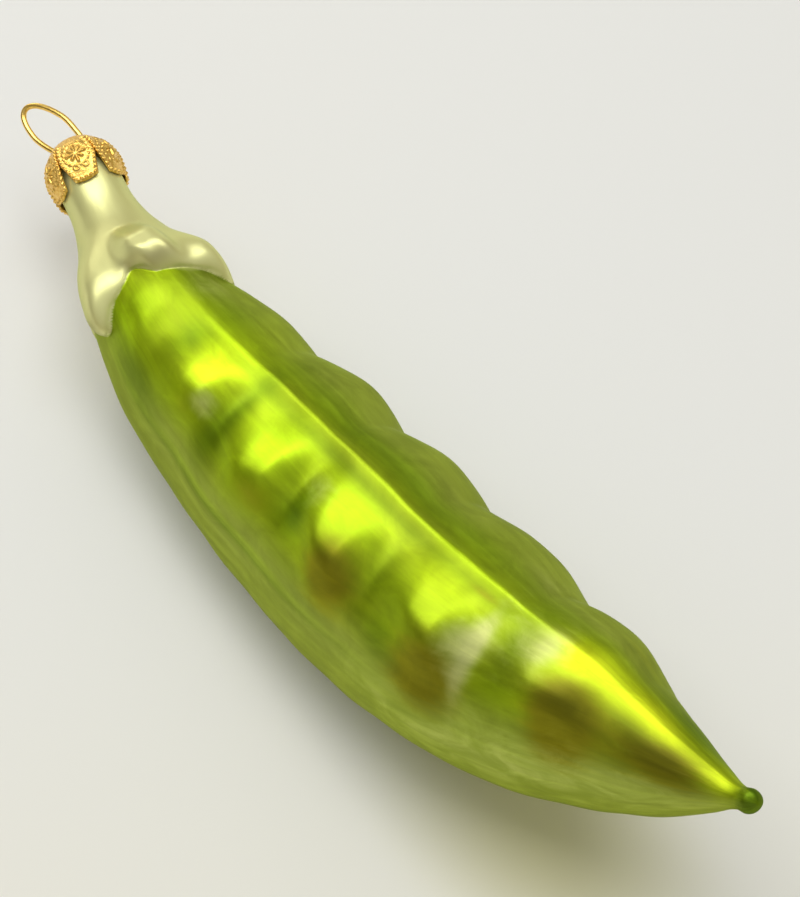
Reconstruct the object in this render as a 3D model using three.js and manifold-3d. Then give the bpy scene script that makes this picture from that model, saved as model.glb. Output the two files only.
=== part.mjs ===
// A mould-blown glass hanging ornament in the shape of a pea pod, lying on its belly.
// Millimetres, +Z up. The pod runs along X: wire loop at -X, pointed tip at +X.
// The origin is on the resting surface, under the middle of the whole ornament.

import * as THREE from 'three';
import { mergeVertices } from 'three/addons/utils/BufferGeometryUtils.js';
import Module from 'manifold-3d';

// ---- driving dimensions ----

const glass = {
  wall: 0.9,
  mouth: 0.8, // where the neck's open end is cut, along the centreline
  lean: 8, // degrees that the ridge leans towards +Y
  neckTurn: 11, // degrees that the neck turns towards +Y
  turnFrom: 8, // the turn fades out between these distances along the centreline
  turnTo: 40,
  bodyEnd: 128.65, // where the rounded end of the knob at the tip begins
  knobRadius: 1.35,
  innerEnd: 122, // where the hollow ends, inside the solid tip
  innerStep: 3, // between the rings of the hollow, beyond the calyx
  restDepth: 0.8, // how much of the round belly is flattened where it rests
};

// rise of the centreline in degrees, by distance along it
const rise = [[0, -9.5], [14, -9.2], [34, -4], [56, 3], [78, 14.8], [104, 26.5], [130, 41]];

// how far the pod bends aside from its centreline, by distance along it: towards +Y is negative
const sideways = [
  [0, 0], [30, -0.1], [48, -0.3], [64, -0.15], [81, 0], [99, -0.3], [108, -0.9], [118, -0.85], [130, -1],
];

// half width and full height of the section, by distance along the centreline
const halfWidth = [
  [0, 3.3], [4, 4.0], [9, 4.25], [17, 6.5], [25, 8.6], [34, 10.55], [48, 12.2], [64, 13], [81, 12.85],
  [99, 10.2], [108, 7.8], [116, 5.5], [124, 2.45], [126.9, 1.4], [127.6, 1.25], [128.65, 1.35],
];
const height = [
  [0, 6.6], [4, 8.0], [9, 8.5], [17, 13.4], [25, 19.3], [34, 21.85], [48, 26], [64, 28.8], [81, 26.9],
  [99, 22.5], [108, 18], [116, 12], [124, 5.2], [126.9, 2.7], [127.6, 2.45], [128.65, 2.7],
];

const section = {
  widest: 0.57, // the widest level, as a share of the height below the ridge
  crest: 0.07, // far flank: 0 gives a round top, 1 gives a straight flank up to a sharp ridge
  blendFrom: 16, // the round neck turns into the pod's section between these distances
  blendTo: 36,
};

// the crest on the near flank, by distance along the centreline
const nearCrest = [
  [0, 0], [30, 0.07], [40, 0.1], [50, 0.24], [70, 0.27], [95, 0.26], [108, 0.12], [130, 0.08],
];

const peas = {
  valleys: [27.8, 43.3, 59.3, 75.6, 95.4, 111.5], // five peas lie between these
  bulges: [1.25, 1.8, 1.7, 1.6, 2.1], // how far each pea stands out of the flanks
  fullWidth: 12, // peas flatten out where the pod's half width is less than this
  outward: 0.9, // the bulge's share towards the flank
  upward: 0.35, // and its share towards the ridge
  angle: 58, // degrees from the ridge to the top of the bulge
  spread: 34, // degrees over which the bulge falls away
  nearShare: 0.3, // the bulge's share on the near flank, where the pillows are
};

// flat pillows on the near flank, one over each pea and one beside the calyx
const pillows = {
  valleys: [21.5, 33.2, 47.3, 62.2, 78.5, 96, 114],
  heights: [0.7, 1.4, 2.0, 2.2, 2.1, 1.4],
  flat: 0.2, // the share of a pillow's length that is level
  climbFrom: -2, // degrees from the ridge, between which a pillow climbs
  climbTo: 40,
  fallFrom: 34, // and between which it falls away
  fallTo: 62,
};

const calyx = {
  swellFrom: 12, // it swells out of the neck between these distances
  swellTo: 18,
  thickness: 0.4,
  lipAngle: 4, // the lip hangs over the ridge, with a softer front than the rest of the edge
  lipSpread: 15,
};

// where the calyx ends, by degrees from the ridge (near flank positive)
const calyxEdge = [
  [-180, 24.8], [-150, 26], [-115, 24.6], [-88, 26], [-62, 28], [-45, 28.2], [-32, 26.5], [-16, 25.2],
  [0, 24.4], [9, 23.9], [17, 22.4], [25, 21.8], [34, 22.7], [52, 24], [69, 26.1], [84, 24.2], [98, 22.6],
  [120, 22.8], [150, 24], [180, 24.8],
];

// the length over which it rounds down to its edge, by degrees from the ridge
const calyxRoll = [
  [-180, 2], [-100, 2.5], [-62, 3.5], [-38, 5], [-18, 4], [4, 4], [14, 3.2], [22, 2.6], [45, 4],
  [68, 3.5], [90, 2.5], [130, 2], [180, 2],
];

// the calyx's swellings: two over the ridge make the lip, the others are sepals
const sepals = [
  { angle: -4, spread: 12, height: 2.5, from: 14.5, to: 19 },
  { angle: 14, spread: 12, height: 2.2, from: 14.5, to: 19 },
  { angle: -36, spread: 16, height: 2.3, from: 15, to: 23 },
  { angle: 62, spread: 22, height: 2, from: 12, to: 20.5 },
  { angle: 145, spread: 26, height: 0.5, from: 13, to: 20 },
  { angle: -150, spread: 24, height: 0.6, from: 13, to: 20 },
  { angle: -104, spread: 20, height: 0.6, from: 14, to: 21 },
];

const cap = {
  sheet: 0.35,
  aboveMouth: 2.0, // from the mouth of the neck to the flat top
  shoulder: 2.0, // depth from the top down to where the petals begin
  petals: 6,
  petalLength: 7.1, // from the top of the cap to a petal's tip
  slitDepth: 2.9, // from the top of the cap to the end of a slit
  tipTaper: 0.9, // how much shorter a petal is at its corners
  firstPetal: -22, // degrees from straight up to the middle of the first petal
};

// outer radius of the cap, by depth below its top: the crown, a sloping shoulder, then the petals
const capProfile = [[0, 2.5], [0.7, 3.35], [2, 4.35], [3.3, 4.75], [5.5, 4.85], [7.1, 4.8]];

const wire = {
  diameter: 0.76,
  legGap: 3.8, // between the two legs where they pass through the cap
  holeClearance: 0.25,
  loopWidth: 5.2, // between the wire's centre lines at the widest
  loopHeight: 8.5, // from the cap to the centre line at the top
  widestAt: 0.45, // the level of that width, as a share of the loop's height
  loopFullness: 0.73, // less makes the loop squarer, more makes it more pointed
  loopPoints: 12,
  loopLean: 20, // degrees that the loop leans over within its own plane
  turn: -42, // degrees from level to the line through the two legs
  legLength: 11,
  straightTo: 1.5, // depth below the mouth where the legs begin to spread
  legSpread: 2.2, // from the neck's axis to a leg's end
};

// ---- helpers ----

const radians = THREE.MathUtils.degToRad;
const { clamp } = THREE.MathUtils;

function smooth(from, to, value) {
  return THREE.MathUtils.smoothstep(value, from, to);
}

// 1 in the middle, falling away over the spread on both sides.
function bell(value, middle, spread) {
  return Math.exp(-(((value - middle) / spread) ** 2));
}

// A smooth curve through the rows [x, y] of a table, by cubic Hermite pieces.
function along(table, x) {
  const last = table.length - 1;
  const secant = (i) => (table[i + 1][1] - table[i][1]) / (table[i + 1][0] - table[i][0]);
  const slope = (i) => {
    if (i === 0) return secant(0);
    if (i === last) return secant(last - 1);
    const left = table[i][0] - table[i - 1][0];
    const right = table[i + 1][0] - table[i][0];
    return (secant(i - 1) * right + secant(i) * left) / (left + right);
  };
  let i = 0;
  while (i < last - 1 && x > table[i + 1][0]) i += 1;
  const span = table[i + 1][0] - table[i][0];
  const t = clamp((x - table[i][0]) / span, 0, 1);
  const rest = 1 - t;
  return rest * rest * (1 + 2 * t) * table[i][1] + t * rest * rest * span * slope(i)
    + t * t * (3 - 2 * t) * table[i + 1][1] - t * t * rest * span * slope(i + 1);
}

// A closed solid from rings of equal length between two end points.
function solidFromRings(start, rings, end) {
  const count = rings[0].length;
  const points = [start, ...rings.flat(), end];
  const at = (ring, k) => 1 + ring * count + (k % count);
  const indices = [];
  for (let k = 0; k < count; k += 1) {
    indices.push(0, at(0, k), at(0, k + 1));
    for (let ring = 0; ring < rings.length - 1; ring += 1) {
      const [a, b] = [at(ring, k), at(ring, k + 1)];
      const [c, d] = [at(ring + 1, k), at(ring + 1, k + 1)];
      indices.push(a, d, b, a, c, d);
    }
    indices.push(points.length - 1, at(rings.length - 1, k + 1), at(rings.length - 1, k));
  }
  const geometry = new THREE.BufferGeometry().setFromPoints(points);
  geometry.setIndex(indices);
  return geometry;
}

function material(color, roughness, metalness) {
  return new THREE.MeshStandardMaterial({ color, roughness, metalness });
}

function namedMesh(name, geometry, finish) {
  const mesh = new THREE.Mesh(geometry, finish);
  mesh.name = name;
  return mesh;
}

// ---- the glass pod ----

// Frames along the centreline: position, tangent, up (towards the ridge) and side (near flank, -Y).
const frameStep = 0.5;
const frames = [];
{
  const lean = new THREE.Matrix4().makeRotationX(radians(-glass.lean));
  const position = new THREE.Vector3();
  for (let s = 0; s <= 130; s += frameStep) {
    const pitch = radians(along(rise, s));
    const turn = radians(glass.neckTurn) * (1 - smooth(glass.turnFrom, glass.turnTo, s));
    const tangent = new THREE.Vector3(
      Math.cos(pitch) * Math.cos(turn), -Math.cos(pitch) * Math.sin(turn), Math.sin(pitch));
    const up = new THREE.Vector3(
      -Math.sin(pitch) * Math.cos(turn), Math.sin(pitch) * Math.sin(turn), Math.cos(pitch));
    tangent.applyMatrix4(lean);
    up.applyMatrix4(lean);
    const side = new THREE.Vector3().crossVectors(tangent, up);
    frames.push({ position: position.clone(), tangent, up, side });
    position.addScaledVector(tangent, frameStep);
  }
}

// The point of the centreline's frame at distance s, moved aside and up.
function placed(s, aside, up) {
  const f = clamp(s / frameStep, 0, frames.length - 1.001);
  const [a, b] = [frames[Math.floor(f)], frames[Math.floor(f) + 1]];
  const t = f - Math.floor(f);
  const mix = (key) => new THREE.Vector3().lerpVectors(a[key], b[key], t);
  return mix('position').addScaledVector(mix('side'), aside).addScaledVector(mix('up'), up);
}

// How far the pea at s stands out: 0 in a valley and outside the peas, its bulge on the crown.
function peaWave(s) {
  const { valleys, bulges } = peas;
  if (s <= valleys[0] || s >= valleys[valleys.length - 1]) return 0;
  const i = valleys.findIndex((v) => v > s) - 1;
  return bulges[i] * Math.sin(Math.PI * (s - valleys[i]) / (valleys[i + 1] - valleys[i]));
}

// How far a pillow stands out at s and at an angle in degrees from the ridge.
function pillowRise(s, around) {
  const { valleys, heights, flat } = pillows;
  if (s <= valleys[0] || s >= valleys[valleys.length - 1]) return 0;
  const i = valleys.findIndex((v) => v > s) - 1;
  const t = (s - valleys[i]) / (valleys[i + 1] - valleys[i]);
  const slope = (1 - flat) / 2;
  const wave = heights[i] * smooth(0, slope, t) * (1 - smooth(1 - slope, 1, t));
  const climb = smooth(pillows.climbFrom, pillows.climbTo, around);
  return wave * climb * (1 - smooth(pillows.fallFrom, pillows.fallTo, around));
}

// The signed difference of two angles in degrees, between -180 and 180.
function turned(angle, from) {
  return THREE.MathUtils.euclideanModulo(angle - from + 180, 360) - 180;
}

// How far the calyx stands out: its sepals swell from the neck and round down to its edge, like a
// quarter circle all round but as a parabola at the lip.
function calyxRise(s, around) {
  const inside = clamp((along(calyxEdge, around) - s) / along(calyxRoll, around), 0, 1);
  const fullness = 0.5 + 0.5 * bell(around, calyx.lipAngle, calyx.lipSpread);
  let rise = calyx.thickness * smooth(calyx.swellFrom, calyx.swellTo, s);
  sepals.forEach(({ angle, spread, height: high, from, to }) => {
    rise += high * bell(turned(around, angle), 0, spread) * smooth(from, to, s);
  });
  return rise * (1 - (1 - inside) ** 2) ** fullness;
}

// A point of the glass: s along the centreline, angle from the ridge, inset below the outer skin.
// The section is an ellipse with a raised crest; peas, pillows and calyx push its flanks out.
function glassPoint(s, angle, inset) {
  const [sin, cos] = [Math.sin(angle), Math.cos(angle)];
  const knob = s > glass.bodyEnd
    ? Math.sqrt(Math.max(0, 1 - ((s - glass.bodyEnd) / glass.knobRadius) ** 2)) : 1;
  const width = along(halfWidth, s) * knob;
  const full = along(height, s) * knob;
  const blend = smooth(section.blendFrom, section.blendTo, s);
  const above = full * (0.5 + (section.widest - 0.5) * blend);
  const crest = blend * (sin > 0 ? along(nearCrest, s) : section.crest);
  const top = (1 - crest) * cos + crest * (1 - Math.abs(sin));
  let aside = along(sideways, s) + width * sin;
  let up = full / 2 - above + (cos >= 0 ? above * top : (full - above) * cos);
  const around = THREE.MathUtils.radToDeg(Math.atan2(sin, cos));
  const fullness = Math.min(1, width / peas.fullWidth);
  const bulge = peaWave(s) * fullness * bell(Math.abs(around), peas.angle, peas.spread)
    * (around > 0 ? peas.nearShare : 1);
  const grown = calyxRise(s, around) + pillowRise(s, around) * fullness;
  aside += peas.outward * bulge * Math.sign(sin) + grown * sin;
  up += peas.upward * bulge + grown * cos;
  const keep = inset === 0 ? 1 : Math.max(0, 1 - inset / Math.max(Math.hypot(aside, up), inset));
  return placed(s, aside * keep, up * keep);
}

const ringAngles = Array.from({ length: 48 }, (_, k) => (k / 48) * 2 * Math.PI);
const glassRing = (s, inset) => ringAngles.map((angle) => glassPoint(s, angle, inset));

// Stations run close together on the calyx rim, the valleys and the tip.
function glassStations() {
  const stations = [
    glass.mouth, 3, 6, 9, 12, 14, 16, 18, 19.5, 20.5, 21.5, 22.5, 23.5, 24.5, 25.5, 26.5, 27.5, 28.5,
    30, 31.5,
  ];
  for (let i = 1; i < peas.valleys.length; i += 1) {
    const [from, to] = [i === 1 ? 33 : peas.valleys[i - 1], peas.valleys[i]];
    const steps = i === 1 ? 6 : 8;
    for (let k = 0; k < steps; k += 1) stations.push(from + ((to - from) * k) / steps);
  }
  stations.push(111.5, 113.3, 115.1, 117, 119.3, 121.6, 123.8, 125.6, 126.9, 127.6, 128.2, 128.65);
  stations.push(129.1, 129.5, 129.8);
  return stations;
}

function makeGlass() {
  const outer = glassStations();
  const tipEnd = glass.bodyEnd + glass.knobRadius;
  const rings = outer.toReversed().map((s) => glassRing(s, 0));
  // the hollow has the outer skin's own rings as far as the calyx reaches, so the wall stays even
  const inner = outer.filter((s) => s < section.blendTo);
  for (let s = section.blendTo; s < glass.innerEnd; s += glass.innerStep) inner.push(s);
  rings.push(...inner.map((s) => glassRing(s, glass.wall)));
  // the belly rests on a small flat: nothing reaches below this level
  const lowest = Math.min(...rings.flat().map((p) => p.z)) + glass.restDepth;
  const innerFloor = lowest + glass.wall;
  rings.forEach((ring, i) => {
    const floor = i < outer.length ? lowest : innerFloor;
    ring.forEach((p) => p.setZ(Math.max(p.z, floor)));
  });
  const middle = (s) => placed(s, along(sideways, s), 0);
  const geometry = solidFromRings(middle(tipEnd), rings, middle(glass.innerEnd));
  return { geometry, lowest };
}

// ---- the cap and the hanger share the neck's own frame ----

// In it +Z points out of the neck, the mouth is at z = 0 and +Y is as near straight up as can be.
const neck = new THREE.Group();
{
  const { tangent, up } = frames[0];
  const out = tangent.clone().negate();
  const across = new THREE.Vector3().crossVectors(up, out).normalize();
  neck.matrix.makeBasis(across, up, out).setPosition(placed(glass.mouth, 0, 0));
  neck.matrix.decompose(neck.position, neck.quaternion, neck.scale);
}

const capTop = cap.aboveMouth;
const loopTurn = radians(wire.turn);

// Depth of the cap's edge below its top: long blunt petals with slits between them.
function petalDepth(angle) {
  const pitch = (2 * Math.PI) / cap.petals;
  const from = angle - radians(cap.firstPetal);
  const off = Math.abs(from - pitch * Math.round(from / pitch)) / (pitch / 2); // 0 middle, 1 slit
  const taper = cap.tipTaper * smooth(0.3, 0.8, off);
  return THREE.MathUtils.lerp(cap.petalLength - taper, cap.slitDepth, smooth(0.8, 1, off));
}

async function makeCap() {
  const count = 72;
  const angles = Array.from({ length: count }, (_, k) => (k / count) * 2 * Math.PI);
  const shoulderDepths = [0, 0.15, 0.4, 0.7, 1.2, 1.6, cap.shoulder];
  const petalShares = [0.33, 0.66, 1];
  const ringAt = (depthOf, inset) => angles.map((angle) => {
    const depth = depthOf(angle);
    const radius = along(capProfile, depth) - inset;
    const z = capTop - Math.max(depth, inset);
    return new THREE.Vector3(-radius * Math.sin(angle), radius * Math.cos(angle), z);
  });
  const depthsOf = [
    ...shoulderDepths.map((d) => () => d),
    ...petalShares.map((t) => (angle) => THREE.MathUtils.lerp(cap.shoulder, petalDepth(angle), t)),
  ];
  const outer = depthsOf.map((depthOf) => ringAt(depthOf, 0));
  const inner = depthsOf.toReversed().map((depthOf) => ringAt(depthOf, cap.sheet));
  const cup = solidFromRings(
    new THREE.Vector3(0, 0, capTop), [...outer, ...inner],
    new THREE.Vector3(0, 0, capTop - cap.sheet));
  return cutHoles(cup);
}

// The two holes that the wire's legs pass through.
async function cutHoles(cup) {
  const wasm = await Module();
  wasm.setup();
  const toSolid = (geometry) => {
    const bare = geometry.clone();
    bare.deleteAttribute('normal');
    bare.deleteAttribute('uv');
    const merged = mergeVertices(bare, 1e-4);
    return new wasm.Manifold(new wasm.Mesh({
      numProp: 3,
      vertProperties: new Float32Array(merged.attributes.position.array),
      triVerts: new Uint32Array(merged.index.array),
    }));
  };
  let solid = toSolid(cup);
  for (const side of [-1, 1]) {
    const hole = new THREE.CylinderGeometry(
      wire.diameter / 2 + wire.holeClearance, wire.diameter / 2 + wire.holeClearance, 3, 16);
    hole.rotateX(Math.PI / 2);
    const reach = (side * wire.legGap) / 2;
    hole.translate(reach * Math.cos(loopTurn), reach * Math.sin(loopTurn), capTop - cap.sheet / 2);
    solid = solid.subtract(toSolid(hole));
  }
  const mesh = solid.getMesh();
  const geometry = new THREE.BufferGeometry();
  geometry.setAttribute('position', new THREE.BufferAttribute(mesh.vertProperties, 3));
  geometry.setIndex(new THREE.BufferAttribute(mesh.triVerts, 1));
  return geometry;
}

// The hanger: one leg's end, up through the cap, round the loop and down the other leg.
function makeWire() {
  const half = wire.legGap / 2;
  const lean = Math.tan(radians(wire.loopLean));
  const leg = [
    [wire.legSpread, -wire.legLength], [wire.legSpread, -wire.legLength * 0.6],
    [half, -wire.straightTo],
  ];
  const loop = [];
  for (let k = 0; k <= wire.loopPoints; k += 1) {
    const turned = (k / wire.loopPoints) * Math.PI;
    const height = wire.loopHeight * Math.sin(turned) ** wire.loopFullness;
    const opened = Math.min(1, height / (wire.loopHeight * wire.widestAt));
    const width = THREE.MathUtils.lerp(wire.legGap, wire.loopWidth, opened);
    loop.push([lean * height - (width / 2) * Math.cos(turned), capTop + height]);
  }
  const plan = [...leg.map(([x, z]) => [-x, z]), ...loop, ...leg.toReversed()];
  const route = plan.map(([x, z]) => new THREE.Vector3(x, 0, z)
    .applyAxisAngle(new THREE.Vector3(0, 0, 1), loopTurn));
  const round = new THREE.Shape();
  round.absarc(0, 0, wire.diameter / 2, 0, 2 * Math.PI);
  return new THREE.ExtrudeGeometry(round, {
    curveSegments: 5,
    steps: 64,
    extrudePath: new THREE.CatmullRomCurve3(route),
  });
}

// ---- assembly ----

const lacquer = material(0x9fb81e, 0.3, 0.85);
const gold = material(0xd9a93a, 0.35, 1);

const blown = makeGlass();
neck.add(namedMesh('ornament_cap', await makeCap(), gold));
neck.add(namedMesh('wire_hanger', makeWire(), gold));

const ornament = new THREE.Group();
ornament.add(namedMesh('glass_pod', blown.geometry, lacquer), neck);
ornament.updateMatrixWorld(true);
const box = new THREE.Box3().setFromObject(ornament, true);
ornament.position.set(-(box.min.x + box.max.x) / 2, -(box.min.y + box.max.y) / 2, -blown.lowest);

export default ornament;
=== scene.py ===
import math
import bpy
import numpy as np
from mathutils import Matrix, Vector


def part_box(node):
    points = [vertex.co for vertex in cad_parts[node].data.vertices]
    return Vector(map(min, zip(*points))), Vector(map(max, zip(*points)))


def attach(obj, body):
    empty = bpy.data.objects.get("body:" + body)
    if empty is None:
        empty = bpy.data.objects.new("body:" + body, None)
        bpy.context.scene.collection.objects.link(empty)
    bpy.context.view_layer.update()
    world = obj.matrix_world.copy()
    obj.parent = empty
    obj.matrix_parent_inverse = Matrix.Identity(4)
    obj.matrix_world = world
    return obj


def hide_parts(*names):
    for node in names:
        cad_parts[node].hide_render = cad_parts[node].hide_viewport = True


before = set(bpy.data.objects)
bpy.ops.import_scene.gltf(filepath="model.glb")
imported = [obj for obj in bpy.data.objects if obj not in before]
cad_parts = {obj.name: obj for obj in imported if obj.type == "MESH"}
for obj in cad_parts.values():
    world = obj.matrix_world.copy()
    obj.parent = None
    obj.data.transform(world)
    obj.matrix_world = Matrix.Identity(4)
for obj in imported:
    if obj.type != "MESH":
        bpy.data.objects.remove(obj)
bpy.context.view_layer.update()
mm = 0.001
scene = bpy.context.scene
scene.view_settings.view_transform = "Standard"
print("frame: the packed ornament is loaded")


# smoothstep: 3t^2 - 2t^3, where t runs from 0 to 1 between two values
def smooth(start, end, x):
    t = np.clip((x - start) / (end - start), 0, 1)
    return t * t * (3 - 2 * t)


# bell: e to the minus square of the distance from the middle, over a width
def bell(x, middle, width):
    return np.exp(-(((x - middle) / width) ** 2))


# cubic Hermite pieces through the rows (x, y), each slope weighed from its two neighbours
def along(rows, x):
    xs, ys = np.array(rows, float).T
    slope = np.gradient(ys, xs)
    i = np.clip(np.searchsorted(xs, x, side="right") - 1, 0, len(xs) - 2)
    h = xs[i + 1] - xs[i]
    t = np.clip((x - xs[i]) / h, 0, 1)
    rest = 1 - t
    start = rest * rest * ((1 + 2 * t) * ys[i] + t * h * slope[i])
    return start + t * t * ((3 - 2 * t) * ys[i + 1] - rest * h * slope[i + 1])


# the signed turn in degrees from one angle to another, between -180 and 180
def turnFrom(middle, angle):
    return (angle - middle + 180) % 360 - 180


# the glass, in millimetres and degrees: s runs along its centreline from the neck to the tip, and
# angles run round it from the ridge, positive towards -Y, which is the near side
pod = {
    "lean": 8,                      # the whole pod leans over by this
    "neckTurn": 11,                 # the neck turns aside by this, less and less along turnFades
    "turnFades": (8, 40),
    "mouth": 0.8,                   # s at the open end of the neck
    "tip": 130,                     # s at the end of the knob
    "bodyEnd": 128.65,              # s where half a ball closes the knob
    "knobRadius": 1.35,
    "restDepth": 0.8,               # how much of the belly is flattened where it rests
    # along s: the centreline's slope in degrees, its shift towards -Y, and the section's size
    "rise": [(0, -9.5), (14, -9.2), (34, -4), (56, 3), (78, 14.8), (104, 26.5), (130, 41)],
    "sideways": [(0, 0), (30, -0.1), (48, -0.3), (64, -0.15), (81, 0), (99, -0.3), (108, -0.9),
                 (118, -0.85), (130, -1.0)],
    "halfWidth": [(0, 3.3), (4, 4.0), (9, 4.25), (17, 6.5), (25, 8.6), (34, 10.55), (48, 12.2),
                  (64, 13.0), (81, 12.85), (99, 10.2), (108, 7.8), (116, 5.5), (124, 2.45),
                  (126.9, 1.4), (127.6, 1.25), (128.65, 1.35)],
    "height": [(0, 6.6), (4, 8.0), (9, 8.5), (17, 13.4), (25, 19.3), (34, 21.85), (48, 26.0),
               (64, 28.8), (81, 26.9), (99, 22.5), (108, 18.0), (116, 12.0), (124, 5.2),
               (126.9, 2.7), (127.6, 2.45), (128.65, 2.7)],
    "widest": 0.57,                 # the widest line is this share of the height below the ridge
    "crestFar": 0.07,               # 0 leaves the ridge round, 1 makes it a straight wedge
    "crestNear": [(0, 0), (30, 0.07), (40, 0.10), (50, 0.24), (70, 0.27), (95, 0.26), (108, 0.12),
                  (130, 0.08)],
    "bodyBlend": (16, 36),          # from the neck's even section to the body's pointed one
    # the peas: s of the valleys between them, and how far each one bulges
    "valleys": [27.8, 43.3, 59.3, 75.6, 95.4, 111.5],
    "bulges": [1.25, 1.8, 1.7, 1.6, 2.1],
    "fullWidth": 12,                # bulges shrink where the half width is less than this
    "outward": 0.9,                 # the shares of a bulge that go aside and up
    "upward": 0.35,
    "bulgeAngle": 58,
    "bulgeSpread": 34,
    "nearShare": 0.3,               # the bulges on the near side, where the pillows lie
    "pillowValleys": [21.5, 33.2, 47.3, 62.2, 78.5, 96, 114],
    "pillowHeights": [0.7, 1.4, 2.0, 2.2, 2.1, 1.4],
    "pillowRamp": (-2, 40),         # from the ridge to the pillow's brow
    "pillowFall": (34, 62),         # from the brow down the flank
    "pillowFlat": 0.1,
    "valleySway": (0.7, 0.5),       # how far the valleys wander along s
    "browSway": (3, 1),             # how far the brows wander round the pod
    "grooveNear": (0.3, 2.0),       # depth and width of the groove beside the ridge
    "grooveFar": (0.45, 2.6),
    "grooveSoft": 0.1,              # rounds the groove off at the ridge itself
    "grooveGrows": (30, 50),
    "grooveFades": (96, 108),
    "waves": (0.05, 0.035, 0.03),   # heights of the long waves in the glass
    "wavesGrow": (24, 34),
    "wavesFade": (112, 124),
    # the grid: (s, number of rings from there), and rings this far from the tip
    "mouthRings": 20,
    "rings": [(12, 28), (20, 84), (29.5, 206), (117, 34), (126, 20)],
    "ringsEnd": 129.6,
    "tipRings": (0.264, 0.14, 0.048),
    "around": 240,
    # inside the neck: (distance in from the mouth, depth under the outer skin)
    "bore": [(0, 0.45), (0, 0.9), (2.2, 0.9), (5.2, 0.9), (8.2, 0.95), (11.2, 1.6)],
    "boreEnd": 11.7,
}

# the calyx: its edge by angle from the ridge, and how wide it rolls over there
calyx = {
    "edgeAt": [(-180, 24.8), (-150, 26.0), (-115, 24.6), (-88, 26.0), (-62, 28.0), (-45, 28.2),
               (-32, 26.5), (-16, 25.2), (0, 24.4), (9, 23.9), (17, 22.4), (25, 21.8), (34, 22.7),
               (52, 24.0), (69, 26.1), (84, 24.2), (98, 22.6), (120, 22.8), (150, 24.0), (180, 24.8)],
    "rollAt": [(-180, 2.0), (-100, 2.5), (-62, 3.5), (-38, 5.0), (-18, 4.0), (4, 4.0), (14, 3.2),
               (22, 2.6), (45, 4.0), (68, 3.5), (90, 2.5), (130, 2.0), (180, 2.0)],
    "swell": (12, 18),
    "thickness": 0.4,
    "lip": (4, 15),                 # the lip's angle and spread
    # each lobe: angle, spread, height and the stretch of s in which it rises
    "lobes": [(-4, 12, 2.5, 14.5, 19), (14, 12, 2.2, 14.5, 19), (-36, 16, 2.3, 15, 23),
              (62, 22, 2.0, 12, 20.5), (145, 26, 0.5, 13, 20), (-150, 24, 0.6, 13, 20),
              (-104, 20, 0.6, 14, 21)],
}


# frames down the centreline: the tangent climbs by the rise and turns at the neck, its sum is
# the place, and all of it leans about X
def makeFrames(step=0.5):
    s = np.arange(0, pod["tip"] + step / 2, step)
    pitch = np.radians(along(pod["rise"], s))
    turn = np.radians(pod["neckTurn"]) * (1 - smooth(*pod["turnFades"], s))
    tangent = np.stack([np.cos(pitch) * np.cos(turn), -np.cos(pitch) * np.sin(turn), np.sin(pitch)], -1)
    up = np.stack([-np.sin(pitch) * np.cos(turn), np.sin(pitch) * np.sin(turn), np.cos(pitch)], -1)
    a = np.radians(-pod["lean"])
    lean = np.array([[1, 0, 0], [0, np.cos(a), -np.sin(a)], [0, np.sin(a), np.cos(a)]])
    tangent, up = tangent @ lean.T, up @ lean.T
    place = np.vstack([np.zeros(3), np.cumsum(tangent[:-1] * step, 0)])
    return {"step": step, "place": place, "tangent": tangent, "up": up, "side": np.cross(tangent, up)}


centreline = makeFrames()


# the frame at s, mixed from its two neighbours, moved aside and up
def placed(s, aside, up):
    f = np.clip(s / centreline["step"], 0, len(centreline["place"]) - 1.001)
    i = f.astype(int)
    t = (f - i)[..., None]
    mixed = {k: centreline[k][i] * (1 - t) + centreline[k][i + 1] * t for k in ("place", "side", "up")}
    return mixed["place"] + mixed["side"] * aside[..., None] + mixed["up"] * up[..., None]


# half a sine wave over each pea, times that pea's bulge
def peaWave(s):
    v = np.array(pod["valleys"])
    i = np.clip(np.searchsorted(v, s, side="right") - 1, 0, len(v) - 2)
    wave = np.array(pod["bulges"])[i] * np.sin(np.pi * (s - v[i]) / (v[i + 1] - v[i]))
    return np.where((s > v[0]) & (s < v[-1]), wave, 0)


# the calyx swells along s into lobes, and with x the distance from its edge over the roll's width
# it rolls over by the root of 1 - (1 - x)^2, a quarter circle, and at its lip without the root
def calyxRise(s, angle):
    around = turnFrom(0, angle)
    inside = np.clip((along(calyx["edgeAt"], around) - s) / along(calyx["rollAt"], around), 0, 1)
    rolled = (1 - (1 - inside) ** 2) ** (0.5 + 0.5 * bell(around, *calyx["lip"]))
    rise = calyx["thickness"] * smooth(*calyx["swell"], s)
    for middle, spread, height, start, end in calyx["lobes"]:
        rise = rise + height * bell(turnFrom(middle, angle), 0, spread) * smooth(start, end, s)
    return rise * rolled


# pillows down the near side, one over each pea: flat between two valleys, climbing from the
# ridge to the pillow's brow and falling away below it, with sines that move valleys and brows
def pillowRise(s, around):
    v = np.array(pod["pillowValleys"])
    broad, narrow = pod["valleySway"]
    s = s + broad * np.sin(np.radians(4.2 * around)) + narrow * np.sin(0.4 * s + np.radians(3 * around))
    i = np.clip(np.searchsorted(v, s, side="right") - 1, 0, len(v) - 2)
    t = np.clip((s - v[i]) / (v[i + 1] - v[i]), 0, 1)
    flat = pod["pillowFlat"]
    wave = np.array(pod["pillowHeights"])[i] * smooth(0, 0.5 - flat, t) * (1 - smooth(0.5 + flat, 1, t))
    wave = wave * np.where((s > v[0]) & (s < v[-1]), 1, 0)
    broad, narrow = pod["browSway"]
    around = around + broad * np.sin(0.31 * s + 0.6) + narrow * np.sin(0.7 * s)
    return wave * smooth(*pod["pillowRamp"], around) * (1 - smooth(*pod["pillowFall"], around))


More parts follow.
